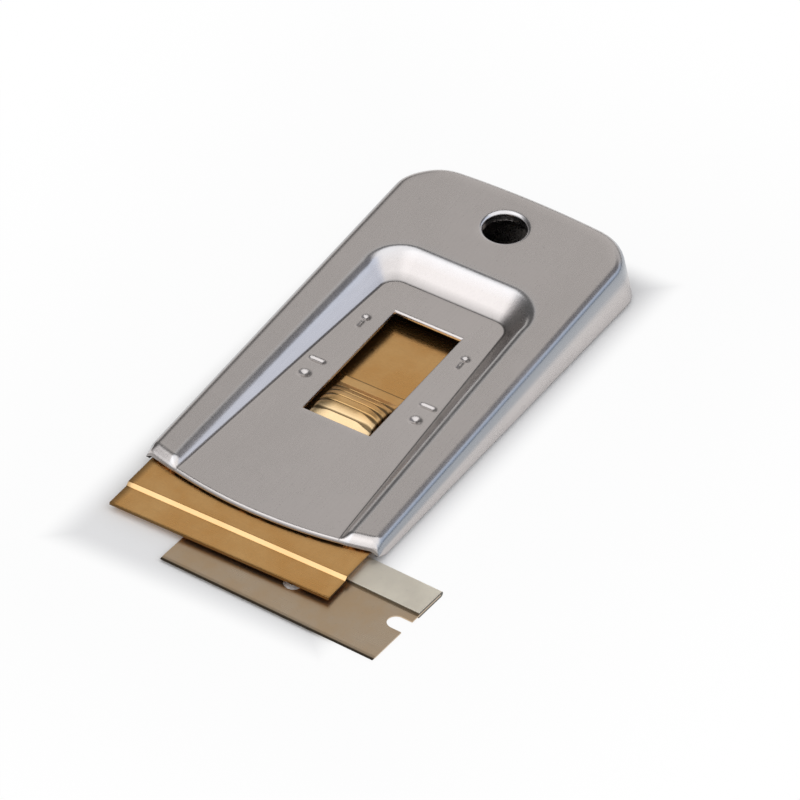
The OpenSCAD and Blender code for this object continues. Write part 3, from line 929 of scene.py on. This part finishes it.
# Columns of the bar in front of the window, on each side of the middle
BAR_COLUMNS = 8


def round_window(bm, form, cut):
    """Rounds the upper edges of the window, the rear one most."""
    for rear, width in ((True, form.window_back), (False, form.window_edge)):
        edges = []
        for edge in bm.edges:
            inside = all(
                abs(v.co.x) < form.window_half + NEAR
                and form.window_front - NEAR < v.co.y < form.window_rear + NEAR
                for v in edge.verts
            )
            marks = sorted(f[cut] for f in edge.link_faces)
            behind = all(v.co.y > form.window_rear - NEAR for v in edge.verts)
            if (inside and behind == rear and marks == [0.0, 1.0]
                    and max(f.normal.z for f in edge.link_faces) > 0.5):
                edges.append(edge)
        bevel(bm, edges, width, 4)


def build_shell(form):
    """The right half row by row and the bar in front of the window, mirrored and given its thickness."""
    bm = bmesh.new()
    layers = [bm.verts.layers.float.new(name) for name in MARKS]
    strip = bm.verts.layers.int.new("strip")
    stations = shell_stations(form)
    row = None
    bar = []
    for number, line in enumerate(stations):
        points = [point for point, _ in line]
        row = chain(bm, points) if row is None else next_chain(bm, row, points)
        rear = number >= len(stations) - 1 - HOLE_ROWS
        for column, (vert, (_, values)) in enumerate(zip(row, line)):
            vert[strip] = column if rear else 0
            for layer, value in zip(layers, values):
                vert[layer] = value
        inner = row[0].co
        if inner.y < form.window_front + NEAR and inner.x > form.window_half - NEAR:
            bar.append(row[0])
    starts = [v.co.copy() for v in bar]
    for x in steps(form.window_half, 0.0, BAR_COLUMNS)[1:]:
        points = []
        for start in starts:
            share = smooth(0.0, PLAIN_END, start.y)
            shift = (form.front(x) - form.front(form.window_half)) * (1.0 - share)
            points.append((x, start.y + shift, start.z + form.panel_slope * shift))
        bar = next_chain(bm, bar, points)
    bmesh.ops.mirror(bm, geom=bm.verts[:] + bm.edges[:] + bm.faces[:], axis="X", merge_dist=MERGE)
    bmesh.ops.remove_doubles(bm, verts=bm.verts, dist=MERGE)
    add_hang_hole(bm, form, strip, len(row) - FOLD_COLUMNS - len(WALL_SHARES) - 2)
    bm.verts.layers.int.remove(strip)
    bmesh.ops.recalc_face_normals(bm, faces=bm.faces)
    top = max(bm.faces, key=lambda f: f.calc_center_median().z)
    if top.normal.z < 0:
        bmesh.ops.reverse_faces(bm, faces=bm.faces)
    cut = thicken(bm, form.sheet)
    plain = set(bm.faces)
    round_window(bm, form, cut)
    break_edges(bm, 55.0, form.edge_break)
    for face in bm.faces:
        if face not in plain:
            face[cut] = 0.0
    return bm


class SCRAPER_OT_shell(bpy.types.Operator):
    """Builds the pressed shell with its rolled nose, sunk panel, dents and hang hole"""

    bl_idname = "scraper.shell"
    bl_label = "Shell"

    def execute(self, context):
        bm = build_shell(ShellForm(look("shell")))
        steel = tumbled_steel("shell_steel", look("finishes").shell, worn=True)
        finish_piece(bm, "pressed_shell", steel, "handle", ["top_shell"])
        return {"FINISHED"}


class SCRAPER_OT_tray(bpy.types.Operator):
    """Gives the tray its rolled steel"""

    bl_idname = "scraper.tray"
    bl_label = "Tray"

    def execute(self, context):
        paint_node("bottom_tray", tumbled_steel("tray_steel", look("finishes").tray))
        return {"FINISHED"}


# The slide and its thumb grip

SLIDE_FRONT = SLIDE_LOW.y + ORIGIN_Y
SLIDE_REAR = SLIDE_HIGH.y + ORIGIN_Y
SLIDE_HALF = SLIDE_HIGH.x
TAIL_HALF = 18.6
TAIL_START = 3.0
TAIL_STEP = 0.02
LIP_LENGTH = 4.7
JOGGLE = 0.55
SLIDE_TOP = 2.15
RUNNER_FRONT = 8.0
RUNNER_SETBACK = 1.5
RUNNER_FOOT = 1.0
SLIDE_COLUMNS = 28
# Heights between which the joggle is rubbed and given a painted highlight, and how much
RUB_HIGHLIGHT_LOW = SLIDE_TOP - JOGGLE + 0.05
RUB_HIGHLIGHT_HIGH = SLIDE_TOP - 0.03
RUB_HIGHLIGHT_SHARE = 0.5


def slide_profile(bend):
    """Upper side line of the slide's sheet, from its front edge to its rear."""
    step = SLIDE_FRONT + LIP_LENGTH
    low = SLIDE_TOP - JOGGLE
    angle = math.radians(45)
    cut = bend * math.tan(angle / 2)
    line = [(y, low) for y in steps(SLIDE_FRONT, step - cut, 10)]
    line += [(step - cut + bend * math.sin(a), low + bend * (1 - math.cos(a)))
             for a in steps(0.0, angle, 6)[1:]]
    crest = step + JOGGLE
    line += [(crest + cut - bend * math.sin(a), SLIDE_TOP - bend * (1 - math.cos(a)))
             for a in steps(angle, 0.0, 6)]
    line += [(y, SLIDE_TOP) for y in steps(crest + cut, TAIL_START, 8)[1:]]
    line += [(TAIL_START + TAIL_STEP, SLIDE_TOP)]
    line += [(y, SLIDE_TOP) for y in steps(TAIL_START, RUNNER_FRONT, 4)[1:]]
    line += [(y, SLIDE_TOP) for y in steps(RUNNER_FRONT, SLIDE_REAR - RUNNER_SETBACK, 20)[1:]]
    line += [(SLIDE_REAR, SLIDE_TOP)]
    return line


class SCRAPER_OT_slide(bpy.types.Operator):
    """Builds the brass-plated slide with its joggled lip and the runners under its tail"""

    bl_idname = "scraper.slide"
    bl_label = "Slide"

    def execute(self, context):
        sizes = look("slide")
        bm = bmesh.new()
        rubbed_and_highlight = bm.verts.layers.float.new("rubbed_and_highlight")
        row = None
        runners = []
        for y, z in slide_profile(sizes.bend_radius / MM):
            half = SLIDE_HALF if y <= TAIL_START else TAIL_HALF
            points = [(x, y, z) for x in steps(-half, half, SLIDE_COLUMNS)]
            row = chain(bm, points) if row is None else next_chain(bm, row, points)
            for vert in row:
                vert[rubbed_and_highlight] = RUB_HIGHLIGHT_SHARE if RUB_HIGHLIGHT_LOW < z < RUB_HIGHLIGHT_HIGH else 0.0
            if RUNNER_FRONT <= y <= SLIDE_REAR - RUNNER_SETBACK:
                runners.append(row)
        for end in (0, -1):
            line = [r[end] for r in runners]
            for drop in (0.6, 1.0):
                z = lerp(SLIDE_TOP, RUNNER_FOOT, drop)
                line = next_chain(bm, line, [(v.co.x, v.co.y, z) for v in line])
        bmesh.ops.recalc_face_normals(bm, faces=bm.faces)
        if sum(f.normal.z for f in bm.faces) < 0:
            bmesh.ops.reverse_faces(bm, faces=bm.faces)
        thicken(bm, sizes.sheet / MM)
        break_edges(bm, 60.0, sizes.edge_break / MM)
        # The slide's cut edges get painted shade, over raw sheared steel
        brass = brass_plate("slide_brass", look("finishes").brass, "cut")
        finish_piece(bm, "slide_sheet", brass, "slide", ["slide_plate"])
        return {"FINISHED"}


GRIP_HALF = GRIP_HIGH.x
GRIP_FRONT = GRIP_LOW.y + ORIGIN_Y
GRIP_REAR = GRIP_HIGH.y + ORIGIN_Y
GRIP_LENGTH = 9.6
GRIP_RISE = 2.0
GRIP_RIBS = 6
GRIP_SHEET = 0.45
GRIP_CELLS = (56, 220)
# Degrees of a sine at the crown's front and how many it runs through
CROWN_START = 35
CROWN_TURN = 145
# How far the crown's front is lowered, and over what share of its length
NOSE_DROP = 0.62
NOSE_SHARE = 0.4
# How far the shoulders fall off at the sides
SHOULDER_FALL = 0.92
GROOVE_LINES = 5
GROOVE_HALF = 0.17
SHOULDER_GROOVE = 0.52


def grip_side(x, shoulder):
    """0 on the crown's middle, 1 at its sides."""
    return max(0.0, abs(x) - GRIP_HALF + shoulder) / shoulder


def grip_groove(side, y):
    """1 in the middle of a groove between two ribs, 0 beside it; the shoulders have wider grooves."""
    share = (y - GRIP_FRONT) / GRIP_LENGTH * GRIP_RIBS
    line = round(share)
    if not 1 <= line <= GROOVE_LINES:
        return 0.0
    away = abs(share - line) * GRIP_LENGTH / GRIP_RIBS
    half = lerp(GROOVE_HALF, SHOULDER_GROOVE, smooth(0.2, 0.8, side))
    return 1.0 - smooth(half * 0.3, half, away)


def grip_height(side, y, groove):
    """Height of the ribbed crown above the slide."""
    share = (y - GRIP_FRONT) / GRIP_LENGTH
    if share >= 1.0:
        return GRIP_SHEET
    crown = GRIP_RISE * math.sin(math.radians(CROWN_START + CROWN_TURN * share))
    nose = 1.0 - NOSE_DROP * (1.0 - min(1.0, share / NOSE_SHARE)) ** 2
    round_off = math.sqrt(max(0.0, 1.0 - side * side * SHOULDER_FALL))
    notch = groove * grip_groove(side, y) * smooth(1.0, 0.8, share)
    return GRIP_SHEET + (crown * nose - notch) * round_off


class SCRAPER_OT_grip(bpy.types.Operator):
    """Builds the ribbed thumb grip that stands in the window"""

    bl_idname = "scraper.grip"
    bl_label = "Thumb grip"

    def execute(self, context):
        sizes = look("slide")
        groove = sizes.groove_depth / MM
        shoulder = sizes.shoulder / MM
        bm = bmesh.new()
        bmesh.ops.create_grid(bm, x_segments=GRIP_CELLS[0], y_segments=GRIP_CELLS[1], size=1.0)
        layer = bm.verts.layers.float.new("groove")
        rubbed_and_highlight = bm.verts.layers.float.new("rubbed_and_highlight")
        length = GRIP_REAR - GRIP_FRONT
        for vert in bm.verts:
            x = vert.co.x * GRIP_HALF
            y = GRIP_FRONT + (vert.co.y + 1.0) / 2 * length
            side = grip_side(x, shoulder)
            vert.co = (x, y, SLIDE_TOP + grip_height(side, y, groove))
            # Painted shade in the grooves between the ribs and along the grip's rear edge
            vert[layer] = max(grip_groove(side, y), smooth(GRIP_REAR - 0.3, GRIP_REAR - 0.1, y))
            # The grip's front is painted pale: rubbed wear with a painted highlight
            vert[rubbed_and_highlight] = 1.0 - smooth(0.15, 0.4, (y - GRIP_FRONT) / GRIP_LENGTH)
        border = [e for e in bm.edges if len(e.link_faces) == 1]
        made = bmesh.ops.extrude_edge_only(bm, edges=border)["geom"]
        for vert in (g for g in made if isinstance(g, bmesh.types.BMVert)):
            vert.co.z = SLIDE_TOP
        bmesh.ops.holes_fill(bm, edges=[e for e in bm.edges if len(e.link_faces) == 1], sides=0)
        bmesh.ops.recalc_face_normals(bm, faces=bm.faces)
        break_edges(bm, 70.0, sizes.edge_break / MM)
        # The grooves and the rear edge get painted shade
        brass = brass_plate("grip_brass", look("finishes").grip, "groove", 0.1)
        finish_piece(bm, "ribbed_grip", brass, "slide", ["thumb_grip"], 50.0)
        return {"FINISHED"}


class SCRAPER_OT_springs(bpy.types.Operator):
    """Gives the leaf springs and their rivets their finish"""

    bl_idname = "scraper.springs"
    bl_label = "Springs and rivets"

    def execute(self, context):
        strip = hard_wire("spring_strip", look("finishes").spring)
        wire = hard_wire("rivet_wire", look("finishes").rivet)
        for side in ("left", "right"):
            paint_node("spring_" + side, strip)
            paint_node("spring_rivet_" + side, wire)
        return {"FINISHED"}


BLADE_TURN = math.radians(-2.3)
BLADE_PLACE = (12.3, -18.6, 0.0)
BLADE_LENGTH = 38.1
BLADE_DEPTH = 19.05
# Depths between which the painted shade along the ground edge fades
GROUND_EDGE_SHADE = (0.35, 0.6)
SPINE_WIDTH = 6.5
SPINE_SEAT = 5.9
SPINE_THICK = 1.0
SPINE_SLIT = 0.23
SPINE_EDGE = 0.07


def build_spine():
    """The folded spine: a strip bent round the back of the blade, open towards the edge."""
    start = BLADE_DEPTH - SPINE_WIDTH
    round_off = SPINE_THICK / 2
    slit = SPINE_SLIT / 2
    seat = start + SPINE_SEAT
    line = [(seat, round_off + slit), (start, round_off + slit), (start, SPINE_THICK)]
    line += [(y, SPINE_THICK) for y in steps(start, BLADE_DEPTH - round_off, 6)[1:]]
    back = BLADE_DEPTH - round_off
    line += [(back + round_off * math.sin(a), round_off + round_off * math.cos(a))
             for a in steps(0.0, math.pi, 16)[1:]]
    line += [(y, 0.0) for y in steps(back, start, 6)[1:]]
    line += [(start, round_off - slit), (seat, round_off - slit)]
    bm = bmesh.new()
    half = BLADE_LENGTH / 2
    row = chain(bm, [(-half, y, z) for y, z in line])
    first = row
    for x in steps(-half, half, 12)[1:]:
        row = next_chain(bm, row, [(x, y, z) for y, z in line])
    inner = [bm.edges.new((a, b)) for a, b in ((first[-1], first[0]), (row[-1], row[0]))]
    bmesh.ops.bridge_loops(bm, edges=inner)
    bmesh.ops.holes_fill(bm, edges=[e for e in bm.edges if len(e.link_faces) == 1], sides=0)
    bmesh.ops.recalc_face_normals(bm, faces=bm.faces)
    # The spine's end faces and front face are marked for painted shade
    cut = bm.faces.layers.float.new("cut")
    for face in bm.faces:
        face[cut] = 1.0 if abs(face.normal.x) > 0.5 or face.normal.y < -0.5 else 0.0
    break_edges(bm, 60.0, SPINE_EDGE)
    turn = Matrix.Translation(BLADE_PLACE) @ Matrix.Rotation(BLADE_TURN, 4, "Z")
    bmesh.ops.transform(bm, matrix=turn, verts=bm.verts)
    return bm


class SCRAPER_OT_blade(bpy.types.Operator):
    """Gives the loose blade's strip its finish and builds the folded spine"""

    bl_idname = "scraper.blade"
    bl_label = "Loose blade"

    def execute(self, context):
        paint_node("blade_strip", oiled_blade("blade_steel", look("finishes").blade))
        steel = folded_strip("spine_steel", look("finishes").spine)
        finish_piece(build_spine(), "folded_spine", steel, "loose_blade", ["blade_spine"])
        return {"FINISHED"}


# The stage

CAMERA_AZIMUTH = 28.65
CAMERA_ELEVATION = 39.373
CAMERA_ROLL = 4.0
CAMERA_TARGET = (5.192, -9.98, 3.55)
CAMERA_LENS = 394.8
CAMERA_SENSOR = 36.0
CAMERA_CLIP = (0.05, 20.0)


def add_camera(distance):
    """The camera at the photograph's angle."""
    a, e, r = (math.radians(v) for v in (CAMERA_AZIMUTH, CAMERA_ELEVATION, CAMERA_ROLL))
    ahead = Vector((-math.sin(a) * math.cos(e), math.cos(a) * math.cos(e), -math.sin(e)))
    level = Vector((math.cos(a), math.sin(a), 0.0))
    above = level.cross(ahead)
    right = math.cos(r) * level + math.sin(r) * above
    up = -math.sin(r) * level + math.cos(r) * above
    data = bpy.data.cameras.new("camera")
    data.sensor_width = CAMERA_SENSOR
    data.lens = CAMERA_LENS
    data.clip_start, data.clip_end = CAMERA_CLIP
    camera = bpy.data.objects.new("camera", data)
    place = Vector(CAMERA_TARGET) * MM - ahead * distance
    axes = Matrix((right, up, -ahead)).transposed()
    camera.matrix_world = Matrix.Translation(place) @ axes.to_4x4()
    bpy.context.scene.collection.objects.link(camera)
    bpy.context.scene.camera = camera


def seen_rays(finish):
    """1 for rays that show the surface itself: straight, mirrored or through glass."""
    straight, mirrored, through = (
        finish.node("ShaderNodeLightPath", output=name)
        for name in ("Is Camera Ray", "Is Glossy Ray", "Is Transmission Ray")
    )
    return finish.node("ShaderNodeClamp", None, {"Value": straight + mirrored + through})


def away_from_part(finish):
    """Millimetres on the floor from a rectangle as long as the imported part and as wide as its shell."""
    low, high = (corner / MM for corner in cad_box)
    low.x, high.x = SHELL_LOW.x, SHELL_HIGH.x
    gaps = []
    for index, name in enumerate("XY"):
        gap = finish.axis(name) - (low[index] + high[index]) / 2
        gaps.append(gap.math("ABSOLUTE", gap) - (high[index] - low[index]) / 2)
    return gaps[0].math("MAXIMUM", gaps[0], gaps[1])


# Half width of the floor in metres, and the distances in millimetres over which it turns plain white
FLOOR_HALF = 3.0
NEAR_WHITE = (-1.0, 5.0)
FAR_WHITE = (5.0, 70.0)


def add_floor(colour, glow):
    """A pale floor that keeps the shadow and goes over into plain white."""
    bm = bmesh.new()
    bmesh.ops.create_grid(bm, x_segments=2, y_segments=2, size=FLOOR_HALF)
    mesh = bpy.data.meshes.new("floor")
    bm.to_mesh(mesh)
    bm.free()
    finish = Finish("pale_floor")
    matte = finish.node("ShaderNodeBsdfDiffuse", None, {"Color": shade(colour)})
    white = finish.node("ShaderNodeEmission", None, {"Strength": 1.0})
    outside = away_from_part(finish)
    share = outside.ramp(*NEAR_WHITE) * glow + outside.ramp(*FAR_WHITE) * (1.0 - glow)
    factor = seen_rays(finish) * share
    finish.close(finish.node("ShaderNodeMixShader", None, {0: factor, 1: matte, 2: white}))
    mesh.materials.append(finish.material)
    floor = bpy.data.objects.new("floor", mesh)
    bpy.context.scene.collection.objects.link(floor)


# The softbox: the way to it, and its distance and sides in metres
KEY_WAY = (-0.33, -0.50, 0.80)
KEY_DISTANCE = 1.0
KEY_SIDES = (0.9, 0.7)


def add_softbox(power):
    """An area light that faces the object."""
    data = bpy.data.lights.new("softbox", "AREA")
    data.shape = "RECTANGLE"
    data.size, data.size_y = KEY_SIDES
    data.energy = power
    lamp = bpy.data.objects.new("softbox", data)
    way = Vector(KEY_WAY).normalized()
    lamp.location = way * KEY_DISTANCE
    lamp.rotation_mode = "QUATERNION"
    lamp.rotation_quaternion = way.to_track_quat("Z", "Y")
    bpy.context.scene.collection.objects.link(lamp)


# The studio round the object: white in front and above, grey behind, with a dark slot between the two,
# a pale blue wall at the rear right with a dark gap above it, dark walls at the left and a dim horizon
# that is pale only at the rear left
SLOT_NORMAL = (-0.377, 0.790, -0.484)
SLOT_FRONT = (-0.22, -0.12)
SLOT_REAR = (0.04, 0.17)
FRONT_WHITE = (0.80, 0.815, 0.835, 1.0)
SLOT_DARK = (0.05, 0.05, 0.05, 1.0)
REAR_GREY = (0.44, 0.435, 0.43, 1.0)
# A wall: the way to its middle, the cosines at its soft border, its colour
BLUE_WALL = ((0.70, 0.62, 0.35), (0.80, 0.92), (0.57, 0.63, 0.74, 1.0))
DARK_GAP = ((0.28, 0.68, 0.68), (0.92, 0.97), (0.10, 0.10, 0.11, 1.0))
LEFT_SHADE = ((-0.85, -0.15, 0.50), (0.86, 0.95), (0.20, 0.20, 0.21, 1.0))
LEFT_DARK = ((-0.88, 0.30, 0.30), (0.75, 0.88), (0.07, 0.07, 0.07, 1.0))
PALE_CORNER = ((-0.74, 0.68, 0.02), (0.93, 0.98), REAR_GREY)
HORIZON = (0.02, 0.28)
HORIZON_DIM = 0.75
UP = (0.0, 0.0, 1.0)
BLACK = (0.0, 0.0, 0.0, 1.0)
PLAIN_WHITE = (1.0, 1.0, 1.0, 1.0)


def set_surround(level):
    """A soft room that lights from all sides."""
    world = bpy.data.worlds.new("surround")
    world.use_nodes = True
    room = Nodes(world.node_tree, "ShaderNodeOutputWorld")
    way = room.node("ShaderNodeTexCoord", output="Generated")

    def along(axis):
        axis = tuple(Vector(axis).normalized())
        return room.node("ShaderNodeVectorMath", {"operation": "DOT_PRODUCT"}, {0: way, 1: axis}, "Value")

    def covered(colour, middle, border, tone):
        return room.mix(along(middle).ramp(*border), colour, tone)

    behind = along(SLOT_NORMAL)
    colour = room.mix(behind.ramp(*SLOT_FRONT), FRONT_WHITE, SLOT_DARK)
    colour = room.mix(behind.ramp(*SLOT_REAR), colour, REAR_GREY)
    for wall in (BLUE_WALL, DARK_GAP, LEFT_SHADE, LEFT_DARK):
        colour = covered(colour, *wall)
    dim = room.mix(HORIZON_DIM, colour, BLACK)
    colour = room.mix(along(UP).ramp(*HORIZON), dim, colour)
    colour = covered(colour, *PALE_CORNER)
    light = room.node("ShaderNodeBackground", None, {"Color": colour, "Strength": level})
    white = room.node("ShaderNodeBackground", None, {"Color": PLAIN_WHITE, "Strength": 1.0})
    seen = room.node("ShaderNodeLightPath", output="Is Camera Ray")
    room.close(room.node("ShaderNodeMixShader", None, {0: seen, 1: light, 2: white}))
    bpy.context.scene.world = world


class SCRAPER_OT_stage(bpy.types.Operator):
    """Sets the pale floor, the soft light and the camera"""

    bl_idname = "scraper.stage"
    bl_label = "Stage"

    def execute(self, context):
        stage = look("stage")
        add_floor(stage.floor, stage.glow)
        set_surround(stage.surround)
        add_softbox(stage.softbox)
        add_camera(stage.distance)
        context.scene.view_settings.view_transform = "Standard"
        return {"FINISHED"}


class SCRAPER_PT_panel(bpy.types.Panel):
    """Lists the steps that dress the scraper"""

    bl_idname = "SCRAPER_PT_panel"
    bl_label = "Pocket scraper"
    bl_space_type = "VIEW_3D"
    bl_region_type = "UI"
    bl_category = "Scraper"

    def draw(self, context):
        for step in STEPS:
            self.layout.operator(step.bl_idname)
        for name in GROUPS:
            group = getattr(context.scene, "scraper_" + name)
            box = self.layout.box()
            for key in group.__annotations__:
                box.prop(group, key)


GROUPS = {
    "shell": ScraperShellSizes,
    "slide": ScraperSlideSizes,
    "finishes": ScraperFinishes,
    "stage": ScraperStage,
}

STEPS = (
    SCRAPER_OT_shell,
    SCRAPER_OT_tray,
    SCRAPER_OT_slide,
    SCRAPER_OT_grip,
    SCRAPER_OT_springs,
    SCRAPER_OT_blade,
    SCRAPER_OT_stage,
)


def register():
    for group in GROUPS.values():
        bpy.utils.register_class(group)
    for name, group in GROUPS.items():
        setattr(bpy.types.Scene, "scraper_" + name, bpy.props.PointerProperty(type=group))
    for step in STEPS:
        bpy.utils.register_class(step)
    bpy.utils.register_class(SCRAPER_PT_panel)


def unregister():
    bpy.utils.unregister_class(SCRAPER_PT_panel)
    for step in reversed(STEPS):
        bpy.utils.unregister_class(step)
    for name, group in GROUPS.items():
        delattr(bpy.types.Scene, "scraper_" + name)
        bpy.utils.unregister_class(group)


def main():
    register()
    bpy.ops.scraper.shell()
    bpy.ops.scraper.tray()
    bpy.ops.scraper.slide()
    bpy.ops.scraper.grip()
    bpy.ops.scraper.springs()
    bpy.ops.scraper.blade()
    bpy.ops.scraper.stage()


if __name__ == "__main__":
    main()
